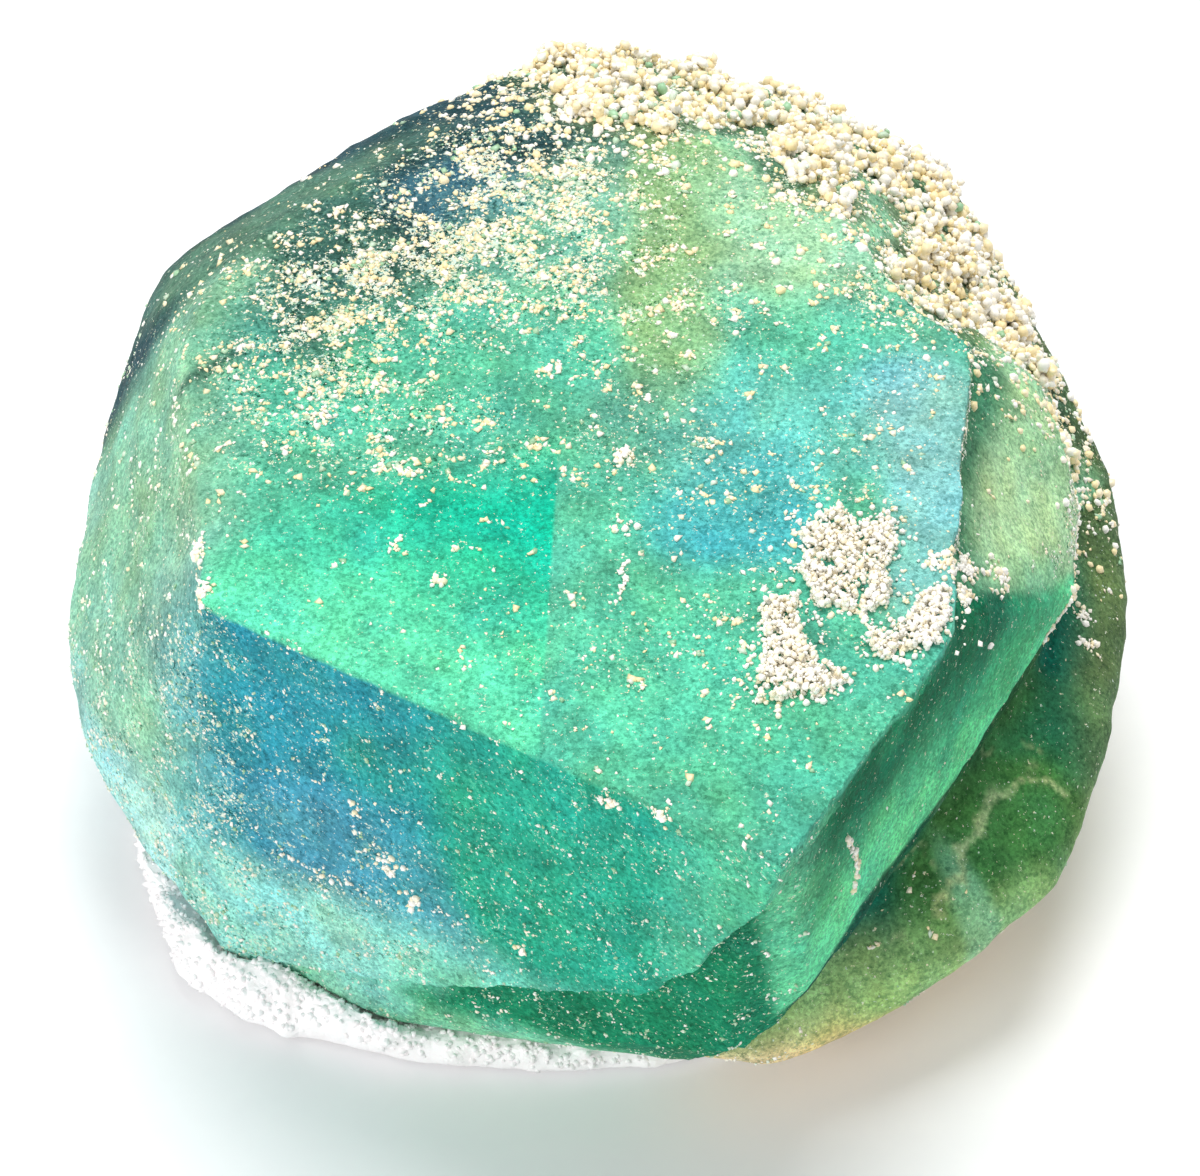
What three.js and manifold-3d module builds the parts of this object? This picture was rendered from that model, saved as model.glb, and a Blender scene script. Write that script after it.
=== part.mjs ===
// Fluorite cube with quartz: a green fluorite crystal on a white quartz matrix, with quartz druse on it.
// Millimetres, +Z up. The origin is the middle of the underside of the specimen's box.
// The cube stands upright and is turned about Z. In the crystal's own axes a point is [a, b, height]:
// a runs along the front top edge to the right, b runs back from that edge.
import * as THREE from 'three';
import { ConvexGeometry } from 'three/addons/geometries/ConvexGeometry.js';
import { mergeVertices } from 'three/addons/utils/BufferGeometryUtils.js';
import Module from 'manifold-3d';

const wasm = await Module();
wasm.setup();

// Driving sizes. CLEAR is a length past everything.
const CUBE_TURN = THREE.MathUtils.degToRad(-31);
const TOP = 26;
const LEFT_WALL = -20.3;
const RIGHT_WALL = 20.9;
const UPPER_LEVEL_THICKNESS = 1.2;
const LEVEL_STEP = 0.55;
const LEFT_WALL_PLATE = 2.4;
const GAP = 0.3;
const CRUST_THICKNESS = 0.75;
const PATCH_THICKNESS = 0.28;
const CRUST_POINTS = 86;
const PATCH_POINTS_PER_MM2 = 1.15;
const GRAIN_SEED = 41;
const CLEAR = 80;

// Small helpers

// The same row of numbers between 0 and 1 for the same seed.
function randomRow(seed) {
  let state = seed >>> 0;
  return () => {
    state = (state + 0x6d2b79f5) >>> 0;
    let t = Math.imul(state ^ (state >>> 15), 1 | state);
    t = (t + Math.imul(t ^ (t >>> 7), 61 | t)) ^ t;
    return ((t ^ (t >>> 14)) >>> 0) / 4294967296;
  };
}

// A point given in the crystal's own axes.
function inCube([a, b, height]) {
  const cos = Math.cos(CUBE_TURN);
  const sin = Math.sin(CUBE_TURN);
  return new THREE.Vector3(a * cos - b * sin, a * sin + b * cos, height);
}

function inSpace([x, y, z]) {
  return new THREE.Vector3(x, y, z);
}

// A closed mesh as a solid that can be joined and cut.
function solidOf(geometry) {
  const bare = geometry.index ? geometry.toNonIndexed() : geometry.clone();
  for (const name of Object.keys(bare.attributes)) {
    if (name !== 'position') bare.deleteAttribute(name);
  }
  const merged = mergeVertices(bare, 1e-4);
  return new wasm.Manifold(new wasm.Mesh({
    numProp: 3,
    vertProperties: new Float32Array(merged.attributes.position.array),
    triVerts: new Uint32Array(merged.index.array),
  }));
}

function geometryOf(solid) {
  const mesh = solid.getMesh();
  const geometry = new THREE.BufferGeometry();
  geometry.setAttribute('position', new THREE.BufferAttribute(new Float32Array(mesh.vertProperties), 3));
  geometry.setIndex(new THREE.BufferAttribute(new Uint32Array(mesh.triVerts), 1));
  return geometry;
}

// A cut can leave loose crumbs. Only the largest connected body is kept.
function largestBody(solid) {
  return solid.decompose().sort((p, q) => q.volume() - p.volume())[0];
}

function hull(points) {
  return solidOf(new ConvexGeometry(points));
}

function joined(solids) {
  return solids.reduce((whole, next) => whole.add(next));
}

// A prism with the given outline in its own X and Y, from height 0 to depth, moved into place by a matrix.
function prism(outline, depth, matrix) {
  const shape = new THREE.Shape(outline.map(([u, v]) => new THREE.Vector2(u, v)));
  const geometry = new THREE.ExtrudeGeometry(shape, { depth, bevelEnabled: false });
  geometry.applyMatrix4(matrix);
  return solidOf(geometry);
}

// A straight growth edge broken into small stairs that run along the crystal's axes.
function stairs(from, to, count, depth, random) {
  const points = [];
  for (let i = 0; i < count; i += 1) {
    const t0 = i / count;
    const t1 = (i + 0.6 + 0.38 * random()) / count;
    const offset = (random() - 0.5) * depth;
    const at = (t) => [from[0] + (to[0] - from[0]) * t, from[1] + (to[1] - from[1]) * t];
    const side = new THREE.Vector2(to[1] - from[1], from[0] - to[0]).normalize().multiplyScalar(offset);
    const [p, q] = [at(t0), at(t1)];
    points.push([p[0] + side.x, p[1] + side.y], [q[0] + side.x, q[1] + side.y]);
  }
  return points;
}

// The green fluorite

// The outline of the top face in the crystal's axes, from the front left corner round by the right.
function topOutline(random) {
  return [
    [-7.9, LEFT_WALL],
    [RIGHT_WALL, LEFT_WALL],
    ...stairs([RIGHT_WALL + 0.1, -19.3], [RIGHT_WALL + 0.1, -6.2], 6, 0.5, random),
    ...stairs([20.5, -5.0], [13.9, 9.2], 5, 0.4, random),
    [13.1, 11.4],
    [9.0, 12.3],
    [5.9, 14.6],
    [2.7, 16.4],
    [-5.2, 17.8],
    [-12.0, 16.3],
    [-15.6, 9.5],
    [-19.0, 0.1],
    [-18.1, -6.5],
    [-15.0, -11.5],
    [-11.7, -15.6],
  ];
}

// The uppermost growth level: a thin slab whose stepped right rim stands out over the wall below.
function upperLevel(random) {
  const place = new THREE.Matrix4().makeRotationZ(CUBE_TURN).setPosition(0, 0, TOP - UPPER_LEVEL_THICKNESS);
  return prism(topOutline(random), UPPER_LEVEL_THICKNESS, place);
}

// The outermost level of the left wall: a plate whose lower edge climbs to the right in stairs.
function leftWallLevel(random) {
  const outline = [
    [-7.9, TOP],
    [-9.1, 12.4],
    [-9.0, 5.6],
    [-8.4, 3.9],
    [-7.3, 3.0],
    ...stairs([-5.5, 3.2], [-0.2, 5.2], 3, 0.35, random),
    ...stairs([0.2, 5.3], [13.7, 12.7], 6, 0.45, random),
    ...stairs([14.0, 13.0], [17.4, 16.8], 2, 0.5, random),
    [17.7, 18.4],
    [20.2, 22.4],
    [RIGHT_WALL, TOP],
  ];
  const place = new THREE.Matrix4().makeRotationZ(CUBE_TURN)
    .multiply(new THREE.Matrix4().makeRotationX(Math.PI / 2))
    .setPosition(inCube([0, LEFT_WALL + LEFT_WALL_PLATE, 0]));
  return prism(outline, LEFT_WALL_PLATE, place);
}

// The lower level: the wall and corner faces set back under the upper level, down to their own rim.
function lowerLevel() {
  const under = TOP - UPPER_LEVEL_THICKNESS + 0.4;
  const left = LEFT_WALL + 0.9;
  const right = RIGHT_WALL - LEVEL_STEP;
  const top = [
    [-7.4, left, under],
    [right - 1.2, left, under],
    [right, left + 1.4, under],
    [right, -5.6, under],
    [13.8, 8.4, under],
    [8.6, 11.6, under],
    [-5.0, 17.0, under],
    [-15.0, 9.2, under],
    [-18.2, 0, under],
    [-17.2, -6.4, under],
  ];
  const rim = [
    [14.0, 17.0, 20.0],
    [18.4, 13.1, 17.0],
    [right, 8.5, 16.0],
    [right, -1.5, 14.2],
    [right, -10.9, 14.4],
    [19.9, -15.6, 12.0],
    [17.3, -17.9, 8.6],
    [14.4, -16.4, 4.6],
    [9.1, -15.2, 2.2],
    [3.5, -18.6, 2.0],
    [0.1, -19.7, 2.0],
    [-2.6, -19.8, 2.2],
    [-7.0, -19.4, 2.8],
    [-9.0, -18.2, 3.0],
  ];
  const foot = [
    [-8.0, -12.0, 1.6],
    [6.0, -10.0, 1.6],
    [13.0, 2.0, 4.0],
    [10.0, 10.0, 6.0],
  ];
  return hull([...top, ...rim, ...foot].map(inCube));
}

// The rounder body that the levels grew on. Its flanks run out to the left, the back and the right.
function body() {
  const shoulder = [
    [-7.9, LEFT_WALL + 0.8, TOP - 1.2],
    [-18.0, -6.6, TOP - 0.5],
    [-18.9, 0, TOP - 0.4],
    [-15.6, 9.4, TOP - 0.3],
    [-12.0, 16.2, TOP - 0.3],
    [-5.2, 17.7, TOP - 0.3],
    [2.6, 16.3, TOP - 0.4],
  ].map(inCube);
  const flanks = [
    [-24.9, -1.5, 11.0], [-24.2, -5.4, 8.2], [-24.4, 5.8, 13.0], [-22.0, 14.2, 17.6], [-20.5, 15.8, 19.4],
    [-12.1, 20.9, 22.0], [-4.0, 27.4, 21.8], [-2.0, 28.6, 21.6], [5.0, 28.4, 20.6], [11.4, 26.4, 19.6],
    [17.6, 23.4, 17.6], [21.2, 15.4, 15.6], [24.7, 7.9, 12.8], [25.2, 1.1, 10.8], [23.8, -6.9, 9.8],
    [21.1, -14.2, 7.9], [16.3, -17.8, 6.2], [12.0, -19.7, 5.0], [7.9, -21.7, 3.8],
  ].map(inSpace);
  const foot = [
    [-22.6, -2.0, 4.6], [-20.6, -9.4, 3.4], [-17.6, -13.4, 2.4], [-9.0, -16.4, 2.0], [2.0, -17.4, 2.0],
    [8.5, -17.6, 1.2], [14.5, -12.6, 1.6], [19.5, -7.0, 2.4], [22.0, 1.0, 3.6], [20.4, 10.0, 4.0],
    [15.0, 19.0, 4.0], [4.0, 24.0, 4.0], [-9.0, 21.4, 4.0], [-18.0, 14.0, 4.0], [-22.4, 6.0, 4.4],
  ].map(inSpace);
  return hull([...shoulder, ...flanks, ...foot]);
}

// Parallel growth on the hidden sides: blocks in the cube's own directions that stand out as ledges.
function parallelGrowth() {
  const blocks = [
    { a: [-12.6, -3.4], b: [14, 24.8], height: [5.0, 15.4] },
    { a: [-5.6, 5.4], b: [14, 26.4], height: [4.2, 11.2] },
    { a: [-10.4, -6.0], b: [14, 25.6], height: [8.4, 12.6] },
    { a: [-25.3, -14], b: [-4.0, 7.4], height: [4.6, 13.2] },
    { a: [-23.2, -14], b: [-8.6, -1.2], height: [4.6, 9.4] },
    { a: [6.4, 16.6], b: [6, 20.6], height: [4.0, 9.6] },
  ];
  return blocks.map(({ a, b, height }) => {
    const block = new THREE.BoxGeometry(a[1] - a[0], b[1] - b[0], height[1] - height[0]);
    block.translate((a[0] + a[1]) / 2, (b[0] + b[1]) / 2, (height[0] + height[1]) / 2);
    block.rotateZ(CUBE_TURN);
    return solidOf(block);
  });
}

// Square etch pits with flat floors, in a slanting row on the left wall.
function etchPits(random) {
  const pits = [];
  for (let i = 0; i < 7; i += 1) {
    const size = 0.25 + random() * 0.3;
    const pit = new THREE.BoxGeometry(size * 1.6, 0.3, size);
    pit.rotateZ(CUBE_TURN);
    const at = inCube([-4.4 + i * 0.62 + random() * 0.3, LEFT_WALL, 10.6 - random() * 2.0]);
    pit.translate(at.x, at.y, at.z);
    pits.push(solidOf(pit));
  }
  return pits;
}

function fluoriteSolid() {
  const random = randomRow(GRAIN_SEED);
  const grown = joined([
    upperLevel(random),
    leftWallLevel(random),
    lowerLevel(),
    body(),
    ...parallelGrowth(),
  ]);
  return etchPits(random).reduce((whole, pit) => whole.subtract(pit), grown);
}

// The quartz

// One quartz point: a prism with a pyramid, its foot sunk into what it grows from.
function quartzPoint({ foot, direction, radius, length, sides = 6 }, random) {
  const points = [];
  const twist = random() * Math.PI;
  for (let i = 0; i < sides; i += 1) {
    const angle = twist + (i * 2 * Math.PI) / sides;
    const ring = radius * (0.82 + 0.3 * random());
    points.push(new THREE.Vector3(ring * Math.cos(angle), ring * Math.sin(angle), -0.6 * radius));
    points.push(new THREE.Vector3(ring * 0.96 * Math.cos(angle), ring * 0.96 * Math.sin(angle), length * 0.45));
  }
  points.push(new THREE.Vector3(0, 0, length));
  const turn = new THREE.Quaternion().setFromUnitVectors(new THREE.Vector3(0, 0, 1), direction);
  return hull(points.map((p) => p.applyQuaternion(turn).add(foot)));
}

// A blunt knob of massive quartz.
function quartzKnob(centre, radius, random) {
  const knob = new THREE.IcosahedronGeometry(radius, 0);
  knob.scale(1 + 0.3 * random(), 1 + 0.3 * random(), 0.7 + 0.3 * random());
  knob.rotateZ(random() * Math.PI);
  knob.rotateX(random() * Math.PI);
  knob.translate(centre.x, centre.y, centre.z);
  return solidOf(knob);
}

// A direction near the given one.
function leaned(direction, spread, random) {
  const side = new THREE.Vector3(random() - 0.5, random() - 0.5, random() - 0.5);
  return direction.clone().addScaledVector(side, 2 * spread).normalize();
}

// The fluorite grown all over by a small amount, for what lies on it and for the gap to it.
function grownFluorite(fluorite, amount) {
  const half = [25, 27, 13];
  const factor = half.map((size) => 1 + amount / size);
  return fluorite.translate([0, 0, -TOP / 2]).scale(factor).translate([0, 0, TOP / 2]);
}

// The foot of the matrix, where it was cut off the rock, and its height there: [x, y, height of the top rim].
const BASE_OUTLINE = [
  [-22.2, -4.8, 4.6], [-20.9, -10.6, 3.9], [-19.7, -13.5, 3.2], [-17.0, -15.9, 2.6], [-12.6, -17.3, 2.5],
  [-9.2, -18.4, 2.6], [-2.3, -19.0, 1.9], [3.0, -18.6, 1.4], [7.4, -17.4, 1.4], [11.0, -14.6, 1.8],
  [15.4, -11.8, 2.6], [19.0, -7.2, 3.4], [21.2, -1.0, 4.2], [21.4, 6.0, 5.2], [18.6, 14.0, 5.8],
  [12.6, 20.4, 6.0], [4.0, 23.4, 6.2], [-6.0, 21.6, 6.0], [-14.4, 17.2, 5.6], [-19.6, 11.0, 5.2],
  [-22.4, 3.0, 5.0],
];

// The matrix under the crystal: a lump cut flat below, with blunt knobs and short points all round.
function baseSolid(fluorite) {
  const random = randomRow(GRAIN_SEED + 7);
  const lump = hull(BASE_OUTLINE.flatMap(([x, y, rim]) => [
    new THREE.Vector3(x * 0.985, y * 0.985, 0),
    new THREE.Vector3(x, y, Math.min(1.1, rim * 0.5)),
    new THREE.Vector3(x * 0.95, y * 0.95, rim),
  ]));
  const grown = [];
  BASE_OUTLINE.forEach(([x, y, rim], i) => {
    const [nextX, nextY, nextRim] = BASE_OUTLINE[(i + 1) % BASE_OUTLINE.length];
    const count = Math.max(1, Math.round(Math.hypot(nextX - x, nextY - y) / 1.7));
    for (let k = 0; k < count; k += 1) {
      const t = (k + random() * 0.7) / count;
      const top = rim + (nextRim - rim) * t;
      const height = top * (0.25 + 0.65 * random());
      const [alongX, alongY] = [x + (nextX - x) * t, y + (nextY - y) * t];
      const on = (inset) => new THREE.Vector3(alongX * inset, alongY * inset, height);
      const out = new THREE.Vector3(x, y, 5 + height * 3).normalize();
      if (k % 2 === 0) {
        grown.push(quartzKnob(on(0.955), top * 0.28 + 0.35 * random(), random));
      } else {
        const radius = 0.45 + random() * 0.45;
        const length = 0.8 + random() * 0.7;
        const direction = leaned(out, 0.35, random);
        grown.push(quartzPoint({ foot: on(0.97), direction, radius, length }, random));
      }
    }
  });
  const below = new THREE.BoxGeometry(CLEAR, CLEAR, CLEAR).translate(0, 0, -CLEAR / 2);
  return largestBody(joined([lump, ...grown]).subtract(solidOf(below)).subtract(grownFluorite(fluorite, GAP)));
}

// Where a straight-down look meets the fluorite, and the direction its face points to.
function surfaceAt(target, x, y) {
  const look = new THREE.Raycaster(new THREE.Vector3(x, y, CLEAR), new THREE.Vector3(0, 0, -1));
  const [hit] = look.intersectObject(target);
  return hit ? { point: hit.point, normal: hit.face.normal.clone() } : null;
}

function insideOutline([x, y], outline) {
  let inside = false;
  outline.forEach(([x0, y0], i) => {
    const [x1, y1] = outline[(i + outline.length - 1) % outline.length];
    if ((y0 > y) !== (y1 > y) && x < ((x1 - x0) * (y - y0)) / (y1 - y0) + x0) inside = !inside;
  });
  return inside;
}

// Where the shoulder druse lies: overlapping lobes given by their middle, half sizes and turn in degrees.
const CRUST_LOBES = [
  [[-0.6, 25.2, 21.6], [3.4, 4.8, 4.2], 0],
  [[1.8, 20.6, 24.8], [4.8, 3.2, 2.8], 8],
  [[4.0, 24.4, 22.4], [4.4, 6.0, 4.4], 20],
  [[8.6, 24.6, 20.6], [4.0, 4.6, 4.8], -10],
  [[10.1, 16.8, 24.4], [1.7, 4.4, 3.6], 16],
  [[13.2, 22.4, 19.8], [4.0, 4.4, 4.4], -30],
  [[16.4, 18.0, 19.6], [3.6, 5.0, 4.8], 24],
  [[18.2, 12.6, 19.6], [3.4, 4.6, 4.4], 12],
  [[15.6, 10.6, 23.0], [2.2, 3.0, 3.4], -20],
  [[20.6, 9.2, 18.8], [2.2, 3.4, 3.4], 20],
];

function crustRegion() {
  return joined(CRUST_LOBES.map(([middle, half, turn]) => {
    const lobe = new THREE.IcosahedronGeometry(1, 1);
    lobe.scale(...half);
    lobe.rotateZ(THREE.MathUtils.degToRad(turn));
    lobe.translate(...middle);
    return solidOf(lobe);
  }));
}

// The druse on the shoulder: a thin skin over the fluorite with quartz points fused to it.
function shoulderCrust(fluorite, fluoriteMesh) {
  const random = randomRow(GRAIN_SEED + 19);
  const skin = grownFluorite(fluorite, CRUST_THICKNESS).intersect(crustRegion());
  const points = [];
  while (points.length < CRUST_POINTS) {
    const [[middleX, middleY], half] = CRUST_LOBES[Math.floor(random() * CRUST_LOBES.length)];
    const [angle, share] = [random() * 2 * Math.PI, 0.92 * Math.sqrt(random())];
    const x = middleX + half[0] * share * Math.cos(angle);
    const y = middleY + half[1] * share * Math.sin(angle);
    const spot = surfaceAt(fluoriteMesh, x, y);
    if (spot && spot.point.z > 15) {
      const foot = spot.point.addScaledVector(spot.normal, 0.35);
      const direction = leaned(spot.normal, 0.4, random);
      const [radius, length] = [0.36 + random() * 0.4, 0.5 + random() * 0.6];
      points.push(quartzPoint({ foot, direction, radius, length, sides: 5 }, random));
    }
  }
  return largestBody(joined([skin, ...points]).subtract(grownFluorite(fluorite, GAP)));
}

// A small crust lying on the top face: a thin plate with an uneven outline, and quartz points fused to it.
function topPatch(outline, seed) {
  const random = randomRow(seed);
  const lift = new THREE.Matrix4().makeTranslation(0, 0, TOP + GAP);
  const plate = prism(outline, PATCH_THICKNESS, lift);
  const xs = outline.map(([x]) => x);
  const ys = outline.map(([, y]) => y);
  const [lowX, lowY] = [Math.min(...xs), Math.min(...ys)];
  const [spanX, spanY] = [Math.max(...xs) - lowX, Math.max(...ys) - lowY];
  const points = [];
  const wanted = Math.round(spanX * spanY * PATCH_POINTS_PER_MM2);
  while (points.length < wanted) {
    const at = [lowX + random() * spanX, lowY + random() * spanY];
    if (insideOutline(at, outline)) {
      const foot = new THREE.Vector3(at[0], at[1], TOP + GAP + 0.2);
      const direction = leaned(new THREE.Vector3(0, 0, 1), 0.35, random);
      const [radius, length] = [0.26 + random() * 0.24, 0.3 + random() * 0.4];
      points.push(quartzPoint({ foot, direction, radius, length, sides: 5 }, random));
    }
  }
  const floor = new THREE.BoxGeometry(CLEAR, CLEAR, CLEAR).translate(0, 0, TOP + GAP - CLEAR / 2);
  return largestBody(joined([plate, ...points]).subtract(solidOf(floor)));
}

// The outlines of the small crusts on the top face, as points in plan.
const PATCHES = [
  [[8.7, -11.5], [9.3, -8.8], [10.4, -7.9], [11.6, -8.6], [12.6, -8.2], [12.9, -10.4], [12.2, -11.6],
    [12.6, -13.2], [11.2, -14.3], [10.2, -13.4], [9.6, -13.9]],
  [[7.2, -13.6], [8.4, -13.4], [8.5, -15.8], [9.6, -17.2], [10.4, -18.2], [9.0, -19.0], [6.7, -19.2],
    [7.0, -17.2]],
  [[11.4, -15.9], [12.4, -14.9], [13.6, -14.6], [14.0, -13.2], [14.9, -12.9], [14.8, -14.6], [14.3, -15.7],
    [13.2, -16.2], [12.0, -16.5]],
];

// The finished specimen

function looks(color, roughness) {
  return new THREE.MeshStandardMaterial({ color, roughness, metalness: 0 });
}

function piece(name, geometry, material) {
  const mesh = new THREE.Mesh(geometry, material);
  mesh.name = name;
  return mesh;
}

const fluorite = fluoriteSolid();
const fluoriteMesh = piece('fluorite_cube', geometryOf(fluorite), looks(0x5fc79f, 0.45));
fluoriteMesh.geometry.computeVertexNormals();

const specimen = new THREE.Group();
specimen.add(fluoriteMesh);
specimen.add(piece('quartz_base', geometryOf(baseSolid(fluorite)), looks(0xf6efee, 0.6)));
const crust = shoulderCrust(fluorite, fluoriteMesh);
specimen.add(piece('quartz_shoulder_crust', geometryOf(crust), looks(0xf1e9d2, 0.5)));
PATCHES.forEach((outline, i) => {
  const patch = topPatch(outline, GRAIN_SEED + 31 + i);
  specimen.add(piece(`quartz_patch_${i + 1}`, geometryOf(patch), looks(0xf5eedb, 0.5)));
});

// The origin goes to the middle of the box's underside.
const box = new THREE.Box3().setFromObject(specimen);
const middle = box.getCenter(new THREE.Vector3());
for (const mesh of specimen.children) {
  mesh.geometry.translate(-middle.x, -middle.y, -box.min.z);
}

export default specimen;
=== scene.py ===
import math

import bmesh
import bpy
import numpy as np
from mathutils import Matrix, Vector, noise
from mathutils.bvhtree import BVHTree


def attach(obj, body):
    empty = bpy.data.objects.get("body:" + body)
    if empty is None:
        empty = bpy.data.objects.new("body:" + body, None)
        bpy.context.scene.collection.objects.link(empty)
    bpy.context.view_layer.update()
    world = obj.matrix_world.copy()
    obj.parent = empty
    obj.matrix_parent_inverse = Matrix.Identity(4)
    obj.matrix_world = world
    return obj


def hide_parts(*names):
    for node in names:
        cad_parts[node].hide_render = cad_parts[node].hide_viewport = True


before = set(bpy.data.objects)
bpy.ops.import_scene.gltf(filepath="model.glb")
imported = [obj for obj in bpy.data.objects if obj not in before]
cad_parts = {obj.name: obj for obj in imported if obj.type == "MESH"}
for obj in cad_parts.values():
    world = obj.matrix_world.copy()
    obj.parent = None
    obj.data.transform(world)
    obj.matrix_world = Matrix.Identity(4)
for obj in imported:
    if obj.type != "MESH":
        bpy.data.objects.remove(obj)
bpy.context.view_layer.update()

MM = 0.001
SEED = 7585

# The cube's own axes: along its front top edge, and back from that edge. They turn about this point in plan.
CUBE_TURN = math.radians(-31)
CUBE_MIDDLE_MM = np.array([-0.15, -0.61, 0.0])
ALONG = np.array([math.cos(CUBE_TURN), math.sin(CUBE_TURN), 0.0])
BACK = np.array([-math.sin(CUBE_TURN), math.cos(CUBE_TURN), 0.0])
# The height of its top face, and how far back its left wall is.
TOP_MM = 26.0
LEFT_WALL_MM = -20.3


def in_plan(points):
    """Points in metres as millimetres from the cube's middle, in the frame's axes."""
    return np.asarray(points) / MM - CUBE_MIDDLE_MM


def in_cube(points):
    """Points in metres as millimetres along the cube's axes: along, back and height."""
    from_middle = in_plan(points)
    return np.stack([from_middle @ ALONG, from_middle @ BACK, from_middle[:, 2]], axis=1)


def ease(value, low, high):
    """0 at low, 1 at high and smooth between, for numpy values."""
    t = np.clip((np.asarray(value) - low) / (high - low), 0, 1)
    return t * t * (3 - 2 * t)


# Camera, floor and light

CAMERA_ELEVATION = math.radians(46)
CAMERA_DISTANCE = 0.234
CAMERA_LENS = 150
CAMERA_SENSOR = 36
CAMERA_NEAREST = 0.01
CAMERA_TARGET = Vector((CUBE_MIDDLE_MM[0], CUBE_MIDDLE_MM[1], TOP_MM / 2)) * MM

# The floor lies just under the specimen's flat cut, so that the two faces don't share a plane.
FLOOR_HALF_WIDTH = 1.5
FLOOR_DROP = 0.00004

# The round light panels: place, the point that they face, width and watts.
PANELS = {
    "sky_panel": ((0.02, 0.14, 0.40), (0, 0, 0.010), 0.24, 1.50),
    "front_panel": ((-0.26, -0.34, 0.20), (0, 0, 0.012), 0.28, 1.05),
}
ROOM_LIGHT = (0.96, 0.98, 1.0, 1)
ROOM_STRENGTH = 0.50


def placed(name, data):
    """A new object in the scene."""
    made = bpy.data.objects.new(name, data)
    bpy.context.scene.collection.objects.link(made)
    return made


def make_camera():
    data = bpy.data.cameras.new("camera")
    data.lens = CAMERA_LENS
    data.sensor_width = CAMERA_SENSOR
    data.sensor_fit = "HORIZONTAL"
    data.clip_start = CAMERA_NEAREST
    camera = placed("camera", data)
    back = Vector((0, -math.cos(CAMERA_ELEVATION), math.sin(CAMERA_ELEVATION)))
    camera.location = CAMERA_TARGET + back * CAMERA_DISTANCE
    camera.rotation_euler = (math.pi / 2 - CAMERA_ELEVATION, 0, 0)
    bpy.context.scene.camera = camera


def make_floor():
    half = FLOOR_HALF_WIDTH
    corners = [(x, y, -FLOOR_DROP) for x, y in ((-half, -half), (half, -half), (half, half), (-half, half))]
    mesh = bpy.data.meshes.new("floor")
    mesh.from_pydata(corners, [], [(0, 1, 2, 3)])
    floor = placed("floor", mesh)
    paper = Finish("floor_paper")
    tone = paper.mix(paper.noise(2.0), colour(246, 246, 247), colour(250, 250, 250))
    paper.surface(base_color=tone, roughness=0.9, specular=0.1)
    mesh.materials.append(paper.material)


def make_lights():
    for name, (place, aim, size, watts) in PANELS.items():
        data = bpy.data.lights.new(name, "AREA")
        data.shape = "DISK"
        data.size = size
        data.energy = watts
        panel = placed(name, data)
        panel.location = place
        panel.rotation_euler = (Vector(aim) - Vector(place)).to_track_quat("-Z", "Y").to_euler()
    room = bpy.data.worlds.new("studio")
    room.use_nodes = True
    background = room.node_tree.nodes["Background"]
    background.inputs["Color"].default_value = ROOM_LIGHT
    background.inputs["Strength"].default_value = ROOM_STRENGTH
    bpy.context.scene.world = room
    bpy.context.scene.view_settings.view_transform = "Standard"


# Shader maths

def colour(red, green, blue):
    """A colour given as it looks on screen, 0 to 255, as the light value that the shaders use."""
    def light(c):
        c /= 255
        return c / 12.92 if c <= 0.04045 else ((c + 0.055) / 1.055) ** 2.4
    return (light(red), light(green), light(blue), 1.0)


class Value:
    """One number socket of a material. Expressions on it add Math nodes."""

    def __init__(self, finish, socket):
        self.finish = finish
        self.socket = socket

    def __add__(self, other): return self.finish.math("ADD", self, other)
    def __radd__(self, other): return self.finish.math("ADD", other, self)
    def __sub__(self, other): return self.finish.math("SUBTRACT", self, other)
    def __rsub__(self, other): return self.finish.math("SUBTRACT", other, self)
    def __mul__(self, other): return self.finish.math("MULTIPLY", self, other)
    def __rmul__(self, other): return self.finish.math("MULTIPLY", other, self)


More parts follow.
